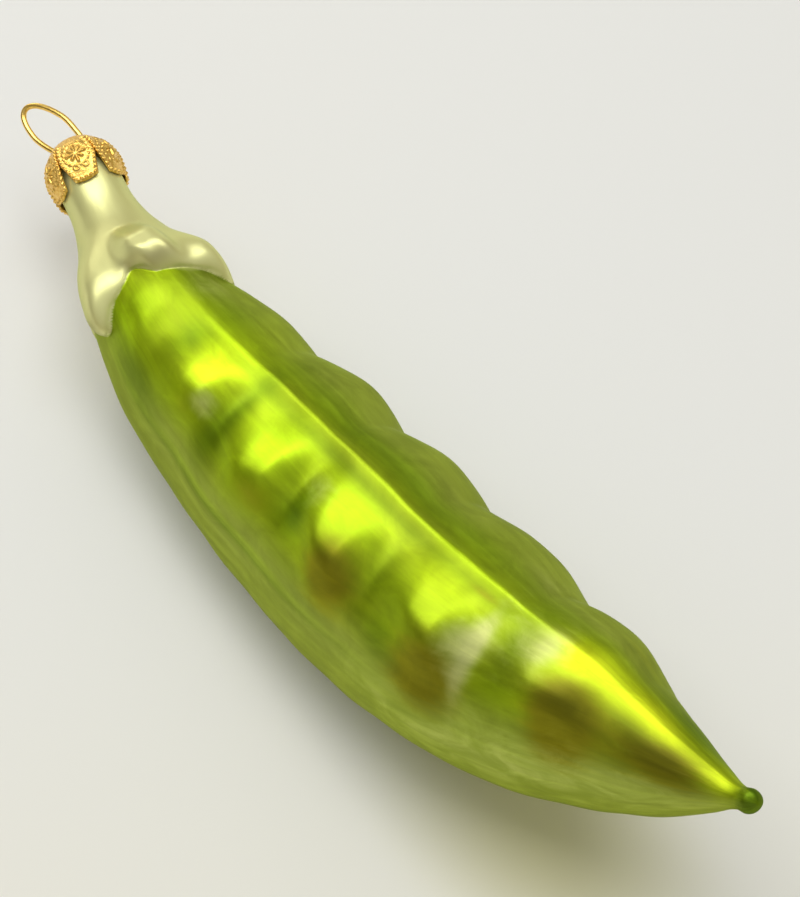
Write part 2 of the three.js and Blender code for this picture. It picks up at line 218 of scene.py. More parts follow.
# a groove beside the ridge on each side: depth times r e^(1 - r), r the distance from the ridge
# over the groove's width
def ridgeGroove(s, around, width):
    x = np.abs(np.radians(around)) * width
    depth, wide = (np.where(around > 0, n, f) for n, f in zip(pod["grooveNear"], pod["grooveFar"]))
    r = np.sqrt((x / wide) ** 2 + pod["grooveSoft"] ** 2) - pod["grooveSoft"]
    runs = smooth(*pod["grooveGrows"], s) * (1 - smooth(*pod["grooveFades"], s))
    return -depth * r * np.exp(1 - r) * runs


# a point of the glass: an ellipse with a raised crest, pushed out by peas, pillows and calyx
def glassPoint(s, angle, outside=0.0):
    s, angle = np.broadcast_arrays(s, angle)
    sin, cos = np.sin(np.radians(angle)), np.cos(np.radians(angle))
    past = np.maximum(s - pod["bodyEnd"], 0) / pod["knobRadius"]
    knob = np.sqrt(np.clip(1 - past ** 2, 0, 1))
    width = along(pod["halfWidth"], s) * knob
    full = along(pod["height"], s) * knob
    blend = smooth(*pod["bodyBlend"], s)
    above = full * (0.5 + (pod["widest"] - 0.5) * blend)
    around = turnFrom(0, angle)
    crest = blend * np.where(around > 0, along(pod["crestNear"], s), pod["crestFar"])
    top = (1 - crest) * cos + crest * (1 - np.abs(sin))
    slim = np.minimum(1, width / pod["fullWidth"])
    fromRidge = np.degrees(np.arccos(np.clip(cos, -1, 1)))
    bulge = peaWave(s) * slim * bell(fromRidge, pod["bulgeAngle"], pod["bulgeSpread"])
    bulge = bulge * np.where(around > 0, pod["nearShare"], 1)
    grown = calyxRise(s, angle) + outside + pillowRise(s, around) * slim + ridgeGroove(s, around, width)
    aside = along(pod["sideways"], s) + width * sin + pod["outward"] * bulge * np.sign(sin) + grown * sin
    up = full / 2 - above + np.where(cos >= 0, above * top, (full - above) * cos)
    return placed(s, aside, up + pod["upward"] * bulge + grown * cos)


# the centreline's own zero is moved so that the skin's box meets the box of the CAD glass
def findOrigin():
    s = np.linspace(pod["mouth"], pod["tip"], 400)[:, None]
    points = glassPoint(s, np.arange(0, 360, 3.0)[None])
    low, high = points.min((0, 1)), points.max((0, 1))
    cadLow, cadHigh = (np.array(corner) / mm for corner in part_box("glass_pod"))
    origin = (cadLow + cadHigh - low - high) / 2
    origin[2] = cadLow[2] - low[2] - pod["restDepth"]
    return origin


origin = findOrigin()
print("pod: its centreline starts at", np.round(origin, 2), "mm")


# the faces of a closed shape point outwards: where its volume, a sixth of the sum of a . (b x c)
# over its triangles, comes out negative, every face is turned round on its first corner
def pointedOut(points, quads, triangles):
    parts = np.concatenate([quads[:, :3], quads[:, [0, 2, 3]], triangles])
    a, b, c = points[parts].transpose(1, 0, 2)
    if np.sum(a * np.cross(b, c)) < 0:
        return [np.roll(faces[:, ::-1], 1, axis=1) for faces in (quads, triangles)]
    return [quads, triangles]


# a closed mesh from a grid of points: rows are rings, and each end closes on one point
def closedGrid(name, rings, firstPole, lastPole):
    rows, count = rings.shape[:2]
    points = np.concatenate([firstPole[None], rings.reshape(-1, 3), lastPole[None]])
    r, k = np.meshgrid(np.arange(rows - 1), np.arange(count), indexing="ij")
    nextK = (k + 1) % count
    quads = np.stack([r * count + k, r * count + nextK, (r + 1) * count + nextK, (r + 1) * count + k], -1)
    quads = quads.reshape(-1, 4) + 1
    k = np.arange(count)
    nextK = (k + 1) % count
    firstFan = np.stack([np.zeros(count, int), nextK + 1, k + 1], -1)
    base = (rows - 1) * count + 1
    lastFan = np.stack([np.full(count, len(points) - 1), base + k, base + nextK], -1)
    return meshFrom(name, points, *pointedOut(points, quads, np.concatenate([firstFan, lastFan])))


# vertices, quads and triangles go into a smooth shaded mesh in one pass each
def meshFrom(name, points, quads, triangles=np.zeros((0, 3), int)):
    mesh = bpy.data.meshes.new(name)
    corners = np.concatenate([quads.ravel(), triangles.ravel()]).astype(np.int32)
    sizes = np.concatenate([np.full(len(quads), 4), np.full(len(triangles), 3)])
    mesh.vertices.add(len(points))
    mesh.vertices.foreach_set("co", (np.asarray(points) * mm).astype(np.float32).ravel())
    mesh.loops.add(len(corners))
    mesh.loops.foreach_set("vertex_index", corners)
    mesh.polygons.add(len(sizes))
    mesh.polygons.foreach_set("loop_start", np.concatenate([[0], np.cumsum(sizes)[:-1]]).astype(np.int32))
    mesh.polygons.foreach_set("loop_total", sizes.astype(np.int32))
    mesh.polygons.foreach_set("use_smooth", np.ones(len(sizes), bool))
    mesh.update(calc_edges=True)
    mesh.validate()
    piece = bpy.data.objects.new(name, mesh)
    scene.collection.objects.link(piece)
    return piece


# one value or one vector for each vertex, kept with the mesh for its material
def keepValues(piece, name, values):
    kind, field = ("FLOAT_VECTOR", "vector") if values.ndim == 2 else ("FLOAT", "value")
    attribute = piece.data.attributes.new(name, kind, "POINT")
    attribute.data.foreach_set(field, values.astype(np.float32).ravel())


# a material with one Principled shader: fixed values on its sockets, then the nodes that the
# function given adds
def newMaterial(name, addNodes, fixed):
    material = bpy.data.materials.new(name)
    material.use_nodes = True
    shader = material.node_tree.nodes["Principled BSDF"]
    for socket, value in fixed.items():
        shader.inputs[socket].default_value = value
    addNodes(NodeKit(material.node_tree), shader)
    return material


# short ways to add the nodes that the materials share: each returns the socket it ends in
class NodeKit:
    def __init__(self, tree):
        self.nodes, self.links = tree.nodes, tree.links

    # a node with its own settings, and a value or a link on each socket named
    def add(self, kind, inputs=(), **settings):
        node = self.nodes.new(kind)
        for key, value in settings.items():
            setattr(node, key, value)
        for socket, value in dict(inputs).items():
            self.put(node.inputs[socket], value)
        return node

    # a socket takes a link from another socket, or else a plain value
    def put(self, socket, value):
        if isinstance(value, bpy.types.NodeSocket):
            self.links.new(value, socket)
        else:
            socket.default_value = value

    # a value kept with the mesh
    def value(self, name):
        return self.add("ShaderNodeAttribute", attribute_name=name).outputs["Fac"]

    # a vector kept with the mesh
    def vector(self, name):
        return self.add("ShaderNodeAttribute", attribute_name=name).outputs["Vector"]

    # the place in the piece's own coordinates, in metres
    def objectPlace(self):
        return self.add("ShaderNodeTexCoord").outputs["Object"]

    # a vector times another, axis by axis
    def scaled(self, vector, scale):
        return self.add("ShaderNodeVectorMath", {0: vector, 1: scale}, operation="MULTIPLY").outputs[0]

    # the dot product of two vectors
    def dot(self, a, b):
        return self.add("ShaderNodeVectorMath", {0: a, 1: b}, operation="DOT_PRODUCT").outputs["Value"]

    # any of the math node's operations
    def math(self, kind, a, b=0.0, c=0.0):
        return self.add("ShaderNodeMath", {0: a, 1: b, 2: c}, operation=kind).outputs[0]

    # a value less a half, times a strength: a mask's edge is made uneven with it
    def centred(self, value, strength):
        return self.math("MULTIPLY", self.math("SUBTRACT", value, 0.5), strength)

    # fractal noise between 0 and 1
    def noise(self, vector, scale=1.0, detail=3.0, roughness=0.5, distortion=0.0):
        inputs = {"Vector": vector, "Scale": scale, "Detail": detail, "Roughness": roughness,
                  "Distortion": distortion}
        return self.add("ShaderNodeTexNoise", inputs).outputs["Fac"]

    # one range mapped to another by smoothstep, or straight when asked
    def ranged(self, value, low, high, toLow=0.0, toHigh=1.0, kind="SMOOTHSTEP"):
        inputs = {"Value": value, "From Min": low, "From Max": high, "To Min": toLow, "To Max": toHigh}
        return self.add("ShaderNodeMapRange", inputs, interpolation_type=kind).outputs["Result"]

    # colour a turned into colour b by a share
    def mixed(self, share, a, b, kind="MIX"):
        node = self.add("ShaderNodeMix", data_type="RGBA", blend_type=kind)
        for socket, value in ((0, share), (6, a), (7, b)):
            self.put(node.inputs[socket], value)
        return node.outputs[2]

    # a normal tilted by the slope of a height, on top of another normal
    def bump(self, height, strength, distance, normal=None):
        node = self.add("ShaderNodeBump", {"Height": height, "Strength": strength, "Distance": distance})
        if normal is not None:
            self.put(node.inputs["Normal"], normal)
        return node.outputs["Normal"]


# the lacquer over the silvered glass: colours are linear, and each list of spots holds
# (s, angle, length, width, strength)
lacquer = {
    "lime": (0.38, 0.52, 0.010, 1),
    "limePale": (0.42, 0.52, 0.02, 1),
    # painted highlight colours: pale lime, then yellow
    "paintedHighlight": (0.54, 0.80, 0.012, 1),
    "paintedYellowHighlight": (0.80, 0.88, 0.02, 1),
    "olive": (0.36, 0.42, 0.085, 1),
    # painted shade colour, dark green
    "shadeGreen": (0.13, 0.24, 0.006, 1),
    # painted reflection colour of dark things, brown
    "paintedDarkReflection": (0.30, 0.285, 0.013, 1),
    # colour of worn patches, also used for painted pale reflections
    "bare": (0.68, 0.70, 0.27, 1),
    "cream": (0.76, 0.75, 0.33, 1),
    # painted shade colour in the cream's folds and under its lip
    "creamShade": (0.42, 0.38, 0.17, 1),
    "spots": {
        # painted highlights on the pillows, along the ridge and on the lower flank
        "paintedHighlight": [(27, 40, 3.5, 3.6, 0.85), (40.5, 17, 4.5, 4.5, 1), (54.5, 22, 4.6, 3.2, 0.9),
                   (70, 20, 5.5, 3.2, 0.7), (85.5, 22, 5, 3.6, 0.8), (106, 2, 4.5, 2.4, 1),
                   (117, -2, 9, 1.9, 1), (82, 0.1, 16, 0.5, 0.4), (125.5, 16, 2.0, 1.3, 0.6),
                   (97, 80, 20, 5, 0.14), (54, 69, 22, 0.6, 0.25), (36, -30, 7, 4, 0.12)],
        # painted yellow highlights along the ridge near the tip and on two pillows
        "paintedYellowHighlight": [(106, 2, 4.2, 1.9, 0.9), (117, -2, 7.5, 1.9, 1), (125.3, 16, 2.2, 1.3, 0.5),
                   (40.5, 17, 3.5, 3.0, 0.4), (85.5, 20, 4.0, 3.0, 0.3)],
        # mostly painted shade: valleys between the peas, the strip beside the ridge and a crease line; the
        # knob is darker green too
        "paintedShade": [(119, -42, 6, 3.5, 0.75), (70, -13, 26, 1.8, 0.35), (54, 72, 22, 0.45, 0.4),
                 (47, 5, 1.6, 2.0, 0.3), (70, 7, 25, 1.0, 0.4), (35, 18, 2.4, 2.6, 0.65),
                 (33, 62, 5.5, 2.4, 0.5), (46.5, 44, 2.4, 3.4, 0.6), (47, 22, 1.6, 4, 0.6),
                 (63, 38, 3.0, 2.2, 0.8), (77.5, 26, 1.8, 5, 0.25), (84, 30, 5.0, 4.0, 0.3),
                 (82, 52, 3.0, 2.4, 0.4), (98.5, 24, 3.4, 4.5, 0.5), (129.6, 0, 1.6, 40, 0.85)],
        # painted shade that darkens the paint: the strip beside the ridge and patches beside the highlights
        # and at the tip
        "paintedDimming": [(28, 14, 4, 3.0, 0.25), (70, 5.5, 26, 0.9, 0.35), (107.5, 33, 3.8, 2.2, 0.5),
                (90, 53, 4.5, 3.5, 0.22), (73, 45, 3.5, 3.0, 0.2), (119.5, 34, 5.0, 1.8, 0.5),
                (70, 21, 4, 3, 0.1), (114.5, 22, 3.5, 1.8, 0.4), (86, 20, 6, 4, 0.12),
                (128.6, 30, 1.4, 30, 0.25)],
        # painted reflections of dark things, brown, on the lower sides of the pillows and near the tip
        "paintedDarkReflection": [(41, 44, 2.4, 1.8, 0.4), (56.5, 46, 3.6, 1.9, 0.5), (72.5, 46, 4.4, 3.8, 1),
                  (89.5, 56, 5.4, 4.4, 1), (107.5, 36, 3.8, 2.5, 0.95), (107.5, 55, 4.4, 3.6, 0.95),
                  (119.5, 42, 5.4, 2.2, 0.95), (91, 7, 3.0, 0.7, 0.5), (114, 42, 4.0, 3.0, 0.35)],
        # pale patches: partly wear, partly painted pale reflections
        "bare": [(43, 36, 2.2, 1.6, 0.5), (63.5, 22, 3.0, 2.0, 0.3), (93.8, 34, 1.2, 4.6, 0.75),
                 (102, 12, 2.4, 2.6, 0.5), (92, 33, 2.4, 2.6, 0.45), (98, 20, 4.0, 4.0, 0.22),
                 (100, 88, 22, 3.8, 0.3), (29, -18, 4.0, 3.0, 0.25)],
        # painted shade in the calyx's folds and under its lip
        "calyxShade": [(15, 25, 3.5, 4.0, 0.3), (22.8, 6, 1.2, 2.2, 0.7), (21.4, 22, 0.9, 1.1, 0.7),
                 (24.4, 74, 1.2, 1.4, 0.7)],
    },
    "mirrored": 0.2,                # the near side's spots come back on the far side, this faint
    "farShare": 0.22,               # painted shade: a dark green band on the far side, just past the ridge
    "farGrows": (0, 6),
    "farFades": (16, 32),
    "farGap": (117, 7),             # the band stops here, in s and width
    "flankNear": (44, 70),          # both flanks turn olive, from one angle to the other
    "flankFar": (4, 30),
    "oliveShare": 0.85,
    "softRim": (-15, 9),            # the cream's edge is soft here, in angle and spread
    "straightRadius": 12,           # the noise lies on a straight round bar of this radius
    "streaks": (70, 900, 900),      # cells in a metre of the bar, along it and across
    "clouds": (45, 160, 160),
    "mottles": (170, 300, 300),
    "roughness": (0.42, 0.5),
    "bareRougher": 0.08,
    "creamSmoother": 0.1,
    "metallic": 0.9,
    "creamDuller": 0.35,            # the cream is less metallic by this
    "fixed": {"Specular Tint": (0.55, 0.62, 0.2, 1), "Coat Weight": 0.08, "Coat Roughness": 0.3},
}


# a soft spot is a bell along s times a bell across, its width measured round the section, and
# where spots meet each covers its share of what is left
def spotMask(spots, s, angle, radius):
    mask = np.zeros_like(s)
    for side, share in ((1, 1.0), (-1, lacquer["mirrored"])):
        for middle, at, length, width, strength in spots:
            if side < 0 and at <= 0:
                continue
            across = np.radians(turnFrom(side * at, angle)) * radius
            spot = share * strength * bell(s, middle, length) * bell(across, 0, width)
            mask = mask + spot * (1 - mask)
    return mask


# stations along s: even steps within each stretch, the count given for that stretch
def stations(stretches, end):
    ends = [s for s, count in stretches[1:]] + [end]
    parts = [np.linspace(a, b, n, endpoint=False) for (a, n), b in zip(stretches, ends)]
    return np.concatenate(parts + [[end]])


# blown glass is never quite even: three products of long sines over s and angle, less than a
# tenth of a millimetre high
def waviness(s, angle):
    a = np.radians(angle)
    first, second, third = pod["waves"]
    wave = first * np.sin(0.31 * s + 2.1 * np.sin(a)) * np.cos(2 * a + 0.4)
    wave = wave + second * np.sin(0.83 * s - 3 * a) + third * np.sin(0.55 * s + 4 * a + 1.3)
    return wave * smooth(*pod["wavesGrow"], s) * (1 - smooth(*pod["wavesFade"], s))


# rings of the glass from the tip to the mouth, round the lip of the neck and a little way
# inside, flattened where the pod rests
def makePod():
    skin = stations([(pod["mouth"], pod["mouthRings"])] + pod["rings"], pod["ringsEnd"])
    skin = np.concatenate([skin, pod["tip"] - np.array(pod["tipRings"])])
    bore, inset = np.array(pod["bore"]).T
    boreEnd = pod["mouth"] + pod["boreEnd"]
    angle = np.linspace(0, 360, pod["around"], endpoint=False)
    s, a = np.meshgrid(np.concatenate([skin[::-1], pod["mouth"] + bore]), angle, indexing="ij")
    inset = np.concatenate([np.zeros(len(skin)), inset])[:, None]
    rings = glassPoint(s, a, waviness(s, a) - inset)
    rings[..., 2] = np.maximum(rings[..., 2], -origin[2])
    zero = np.zeros(1)
    tip = placed(zero + pod["tip"], zero + along(pod["sideways"], pod["tip"]), zero)[0]
    end = placed(zero + boreEnd, zero, zero)[0]
    piece = closedGrid("lacqueredPod", rings + origin, tip + origin, end + origin)
    allS = np.concatenate([[pod["tip"]], s.ravel(), [boreEnd]])
    paintPod(piece, allS, np.concatenate([[0], a.ravel(), [0]]))
    return piece


# what the lacquer needs at each vertex: the place on a straight bar, the distance past the
# calyx's edge, the spots, and bands that are smoothsteps of the angle
def paintPod(piece, s, angle):
    around = turnFrom(0, angle)
    a = np.radians(angle)
    bar = lacquer["straightRadius"]
    keepValues(piece, "straight", np.stack([s, bar * np.sin(a), bar * np.cos(a)], -1) * mm)
    keepValues(piece, "pastRim", s - along(calyx["edgeAt"], around))
    radius = np.maximum(along(pod["halfWidth"], s), 1)
    # every spot list is kept as a mask; most are painted highlights, painted shade and painted reflections
    for name, spots in lacquer["spots"].items():
        keepValues(piece, name, spotMask(spots, s, angle, radius))
    middle, spread = lacquer["softRim"]
    keepValues(piece, "softRim", bell(turnFrom(middle, angle), 0, spread))
    # painted shade: the dark band just past the ridge on the far side
    far = smooth(*lacquer["farGrows"], -around) * (1 - smooth(*lacquer["farFades"], -around))
    keepValues(piece, "far", far * (1 - bell(s, *lacquer["farGap"])) * lacquer["farShare"])
    flank = smooth(*lacquer["flankNear"], around) + smooth(*lacquer["flankFar"], -around)
    keepValues(piece, "flank", flank)


# lime with olive flanks, then painted highlights in pale lime and yellow, painted shade in dark green,
# brown painted reflections and pale patches of wear and painted reflection, one over the other; all of it
# made lighter and darker by the streaks and darker by the painted dimming; the share of wear and pale
# reflection is returned as well
def paintLayers(kit, straight, streak):
    cloud = kit.noise(kit.scaled(straight, lacquer["clouds"]), distortion=0.3)
    base = kit.mixed(kit.ranged(cloud, 0.35, 0.7), lacquer["lime"], lacquer["limePale"])
    flank = kit.math("MULTIPLY", kit.value("flank"), lacquer["oliveShare"])
    base = kit.mixed(flank, base, lacquer["olive"])
    # painted highlights, then painted yellow highlights, over the base
    base = kit.mixed(kit.value("paintedHighlight"), base, lacquer["paintedHighlight"])
    base = kit.mixed(kit.value("paintedYellowHighlight"), base, lacquer["paintedYellowHighlight"])
    # painted shade in dark green: the shade spots and the far band
    paintedShade = kit.math("ADD", kit.value("paintedShade"), kit.value("far"))
    base = kit.mixed(kit.ranged(paintedShade, 0.0, 1.0, kind="LINEAR"), base, lacquer["shadeGreen"])
    # painted dark reflections in brown, broken up by the streaks
    paintedDarkReflection = kit.ranged(kit.math("ADD", kit.value("paintedDarkReflection"), kit.centred(streak, 0.5)), 0.12, 0.85)
    base = kit.mixed(paintedDarkReflection, base, lacquer["paintedDarkReflection"])
    mottle = kit.noise(kit.scaled(straight, lacquer["mottles"]), 1.0, 5.0, 0.6, 0.8)
    # patches of wear and painted pale reflection, broken up by the mottle
    bare = kit.math("ADD", kit.value("bare"), kit.centred(mottle, 0.6))
    bare = kit.ranged(bare, 0.08, 0.8, 0.0, 0.85)
    base = kit.mixed(bare, base, lacquer["bare"])
    shade = kit.math("MULTIPLY", kit.ranged(streak, 0.3, 0.75, 0.88, 1.1),
                     kit.ranged(mottle, 0.32, 0.7, 0.88, 1.1))
    # painted dimming darkens the paint
    shade = kit.math("MULTIPLY", shade, kit.math("MULTIPLY_ADD", kit.value("paintedDimming"), -1.0, 1.0))
    grey = kit.add("ShaderNodeCombineColor", {0: shade, 1: shade, 2: shade}).outputs[0]
    return kit.mixed(1.0, base, grey, "MULTIPLY"), bare


# the cream's share: 1 inside the calyx's edge, which wobbles by a noise and is wider where soft
def creamShare(kit, straight):
    wobble = kit.centred(kit.noise(straight, 700), 0.0005)
    past = kit.math("ADD", kit.math("MULTIPLY", kit.value("pastRim"), mm), wobble)
    past = kit.math("DIVIDE", past, kit.math("MULTIPLY_ADD", kit.value("softRim"), 5.0, 1.0))
    return kit.ranged(past, -0.0001, 0.0002, 1.0, 0.0)


# the lacquer's nodes: paint, then cream over it, a roughness between two values that the streaks
# choose, and the streaks and a fine grain as bump
def lacquerNodes(kit, shader):
    straight = kit.vector("straight")
    streak = kit.noise(kit.scaled(straight, lacquer["streaks"]), 1.0, 4.0, 0.6, 0.4)
    paint, bare = paintLayers(kit, straight, streak)
    cream = creamShare(kit, straight)
    # painted shade darkens the cream in its folds and under the lip
    creamy = kit.mixed(kit.value("calyxShade"), lacquer["cream"], lacquer["creamShade"])
    shader.inputs["Base Color"].default_value = lacquer["lime"]
    kit.put(shader.inputs["Base Color"], kit.mixed(cream, paint, creamy))
    rough = kit.ranged(streak, 0.25, 0.8, *lacquer["roughness"])
    rough = kit.math("MULTIPLY_ADD", bare, lacquer["bareRougher"], rough)
    rough = kit.math("MULTIPLY_ADD", cream, -lacquer["creamSmoother"], rough)
    kit.put(shader.inputs["Roughness"], rough)
    metallic = kit.math("MULTIPLY_ADD", cream, -lacquer["creamDuller"], lacquer["metallic"])
    kit.put(shader.inputs["Metallic"], metallic)
    normal = kit.bump(streak, 0.25, 0.00005)
    kit.put(shader.inputs["Normal"], kit.bump(kit.noise(kit.objectPlace(), 1800), 0.2, 0.00002, normal))


glassSkin = makePod()
glassSkin.data.materials.append(newMaterial("satinLacquer", lacquerNodes, lacquer["fixed"]))
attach(glassSkin, "root")
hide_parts("glass_pod")
print("pod:", len(glassSkin.data.polygons), "faces")


# the neck's own frame: out of the mouth, as near straight up as can be, and across
def neckFrame():
    out = -centreline["tangent"][0]
    across = np.cross(centreline["up"][0], out)
    across = across / np.linalg.norm(across)
    zero = np.zeros(1)
    start = placed(zero + pod["mouth"], zero, zero)[0] + origin
    return {"start": start, "across": across, "up": np.cross(out, across), "out": out}


neck = neckFrame()


# a place in the neck's frame: across, up and out of the mouth
def inNeck(x, y, z):
    x, y, z = np.broadcast_arrays(x, y, z)
    return (neck["start"] + x[..., None] * neck["across"] + y[..., None] * neck["up"]
            + z[..., None] * neck["out"])


# the cap: rows are (depth below the top, radius) in its profile, (depth, half width) for a petal
# and (radius, depth) in its crown
cap = {
    "aboveMouth": 2.0,
    "profile": [(0, 2.5), (0.7, 3.35), (2, 4.35), (3.3, 4.75), (5.5, 4.8), (7.4, 4.55)],
    "sheet": 0.28,
    "petals": 6,
    "firstPetal": -17,
    "petalFrom": 0.75,
    "petalLength": 7.4,
    "halfWidth": [(0.75, 1.74), (2.0, 2.25), (3.2, 2.46), (4.2, 2.46), (7.4, 1.5)],
    "gridAcross": 72,
    "gridDown": 104,
    "cornerTaper": 0.25,            # the corners end higher than the middle by this
    "cornerLift": 0.10,             # and stand away from the neck by this
    "liftGrows": (2.5, 5.0),
    "edgeRound": 0.12,
    "beadStep": 0.62,
    "beadInset": 0.25,
    "beadRadius": 0.24,
    "beadHeight": 0.27,
    "beadsStop": 0.4,
    "starDepth": 3.6,
    "starRadius": 1.5,
    "starHeight": 0.26,
    "rayWidth": 0.15,
    "rayFades": (0.75, 1.0),
    "shortRay": 0.8,
    "knotsAt": 1.12,                # small knots past the rays, as a share of the star's radius
    "knotWidth": 0.12,
    "knotShare": 0.56,
    "curls": [(0.62, 5.45, 0.32), (0.85, 1.9, 0.3)],    # aside, depth and radius
    "curlWidth": 0.1,
    "curlHeight": 0.11,
    "crownOutside": [(0.0, 0.12), (1.0, 0.1), (2.0, 0.04), (2.4, 0.0), (2.62, 0.05), (2.85, 0.2),
                     (3.1, 0.42), (3.35, 0.68), (3.5, 0.86), (3.52, 0.95)],
    "crownInside": [(3.3, 0.95), (3.0, 0.7), (2.5, 0.36), (1.0, 0.4), (0.0, 0.42)],
    "crownAround": 144,
    "flutes": 24,
    "fluteHeight": 0.035,
    "flutesAt": (2.95, 0.35),
    "flutesStop": 0.9,
}


# a place on the cap: radius, angle from straight up and depth below the top
def onCap(radius, angle, depth):
    a = np.radians(angle)
    return inNeck(-radius * np.sin(a), radius * np.cos(a), cap["aboveMouth"] - depth)


# beads at even steps down both sides and along the bottom, each a bell in two directions
def beadRows(x, y, half, bottom):
    step, inset, radius = cap["beadStep"], cap["beadInset"], cap["beadRadius"]
    sideGap = np.abs(x) - (half - inset)
    alongSide = y - np.round(y / step) * step
    sides = np.exp(-(sideGap ** 2 + alongSide ** 2) / radius ** 2) * (y < bottom - cap["beadsStop"])
    endGap = y - (bottom - inset)
    alongEnd = x - np.round(x / step) * step
    return np.maximum(sides, np.exp(-(endGap ** 2 + alongEnd ** 2) / radius ** 2))


# a star of eight rays, each a bell across its line, and round it a ring of knots, a bell over the
# radius times the square of a cosine
def starRays(x, y):
    y = y - cap["starDepth"]
    r = np.hypot(x, y)
    turn = np.degrees(np.arctan2(x, y))
    offRay = r * np.sin(np.radians(turn - np.round(turn / 45) * 45))
    length = np.where(np.abs(turn - np.round(turn / 90) * 90) < 22.5, 1.0, cap["shortRay"])
    rays = bell(offRay, 0, cap["rayWidth"]) * (1 - smooth(*cap["rayFades"], r / cap["starRadius"] / length))
    knots = bell(r, cap["starRadius"] * cap["knotsAt"], cap["knotWidth"])
    knots = knots * np.cos(np.radians(turn * 8)) ** 2
    return np.maximum(rays, cap["knotShare"] * knots)


# curls in mirrored pairs: a bell over the distance from a small circle
def curlRings(x, y):
    rings = [bell(np.hypot(x - side * aside, y - depth), radius, cap["curlWidth"])
             for aside, depth, radius in cap["curls"] for side in (-1, 1)]
    return np.minimum(sum(rings), 1)


# the stamped relief of a petal is the highest of its beads, star and curls
def petalRelief(x, y, half, bottom):
    beads = cap["beadHeight"] * beadRows(x, y, half, bottom)
    star = cap["starHeight"] * starRays(x, y)
    return np.maximum(np.maximum(beads, star), cap["curlHeight"] * curlRings(x, y))


# one petal: a grid across and down, wrapped round the cap's profile, closed by an inner copy
def petalGrid(middle):
    u = np.linspace(-1, 1, cap["gridAcross"])[None, :]
    w = np.linspace(0, 1, cap["gridDown"])[:, None]
    bottom = cap["petalLength"] - cap["cornerTaper"] * smooth(0.15, 1.0, np.abs(u)) + 0 * w
    depth = cap["petalFrom"] + (bottom - cap["petalFrom"]) * w
    half = np.interp(depth, *np.array(cap["halfWidth"]).T)
    x = u * half
    radius = along(cap["profile"], depth)
    lift = cap["cornerLift"] * np.abs(u) ** 3 * smooth(*cap["liftGrows"], depth)
    edge = np.minimum(1 - np.abs(u), (1 - w) * 2.2)
    rounded = -cap["edgeRound"] * (1 - smooth(0.0, 0.06, edge))
    angle = middle + np.degrees(x / radius)
    relief = petalRelief(x, depth, half, bottom) * smooth(0.0, 0.5, depth - cap["petalFrom"])
    outer = onCap(radius + lift + relief + rounded, angle, depth)
    inner = onCap(radius + lift - cap["sheet"], angle, depth)
    return outer, inner


# a closed sheet from an outer and an inner grid: two faces and a strip all round the edge
def sheetFaces(rows, count, base):
    r, k = np.meshgrid(np.arange(rows - 1), np.arange(count - 1), indexing="ij")
    a = base + r * count + k
    face = np.stack([a, a + count, a + count + 1, a + 1], -1).reshape(-1, 4)
    size = rows * count
    rim = np.concatenate([np.arange(count), np.arange(1, rows) * count + count - 1,
                          (rows - 1) * count + np.arange(count - 2, -1, -1),
                          np.arange(rows - 2, 0, -1) * count]) + base
    nextRim = np.roll(rim, -1)
    strip = np.stack([rim, nextRim, nextRim + size, rim + size], -1)
    return np.concatenate([face, face[:, ::-1] + size, strip])


# the petals: the same sheet at even turns round the cap, in one mesh
def makePetals():
    points, faces, base = [], [], 0
    for k in range(cap["petals"]):
        outer, inner = petalGrid(cap["firstPetal"] + 360 / cap["petals"] * k)
        rows, count = outer.shape[:2]
        points += [outer.reshape(-1, 3), inner.reshape(-1, 3)]
        faces.append(sheetFaces(rows, count, base))
        base += 2 * rows * count
    return meshFrom("capPetals", np.concatenate(points), np.concatenate(faces))


# the crown: a profile turned about the neck's axis, down over the shoulder and back up inside,
# with a cosine of flutes near its edge
def makeCrown():
    outside, inside = cap["crownOutside"], cap["crownInside"]
    rows = np.array(outside[1:] + inside[:-1])
    parts = [np.linspace(a, b, 4, endpoint=False) for a, b in zip(rows[:-1], rows[1:])]
    radius, depth = np.concatenate(parts + [rows[-1:]]).T[..., None]
    angle = np.linspace(0, 360, cap["crownAround"], endpoint=False)[None]
    fluted = cap["fluteHeight"] * np.cos(np.radians(angle * cap["flutes"]))
    fluted = fluted * bell(radius, *cap["flutesAt"]) * (depth < cap["flutesStop"])
    first, last = (onCap(r, 0.0, d) for r, d in (outside[0], inside[-1]))
    return closedGrid("capCrown", onCap(radius + fluted, angle, depth), first, last)


# the gilding of cap and wire: colours are linear
gold = {
    "light": (1.0, 0.70, 0.19, 1),
    "dark": (0.78, 0.44, 0.08, 1),
    "grain": 3800,                  # noise cells in a metre of the stamped sheet
    "cloud": 500,
    "drawn": 900,                   # and of the wire
    "sheetRoughness": (0.36, 0.22),
    "wireRoughness": (0.2, 0.3),
    "fixed": {"Metallic": 1.0},
}


# grained gilt sheet: fine noise in colour, roughness and bump, under a broad noise that lightens
def giltNodes(kit, shader):
    place = kit.objectPlace()
    grain = kit.noise(place, gold["grain"], 3.0, 0.6)
    cloud = kit.noise(place, gold["cloud"], 2.0)
    base = kit.mixed(kit.ranged(grain, 0.35, 0.7), gold["dark"], gold["light"])
    base = kit.mixed(kit.ranged(cloud, 0.3, 0.8, 0.0, 0.35), base, gold["light"])
    kit.put(shader.inputs["Base Color"], base)
    kit.put(shader.inputs["Roughness"], kit.ranged(grain, 0.3, 0.8, *gold["sheetRoughness"]))
    kit.put(shader.inputs["Normal"], kit.bump(grain, 0.5, 0.00008))


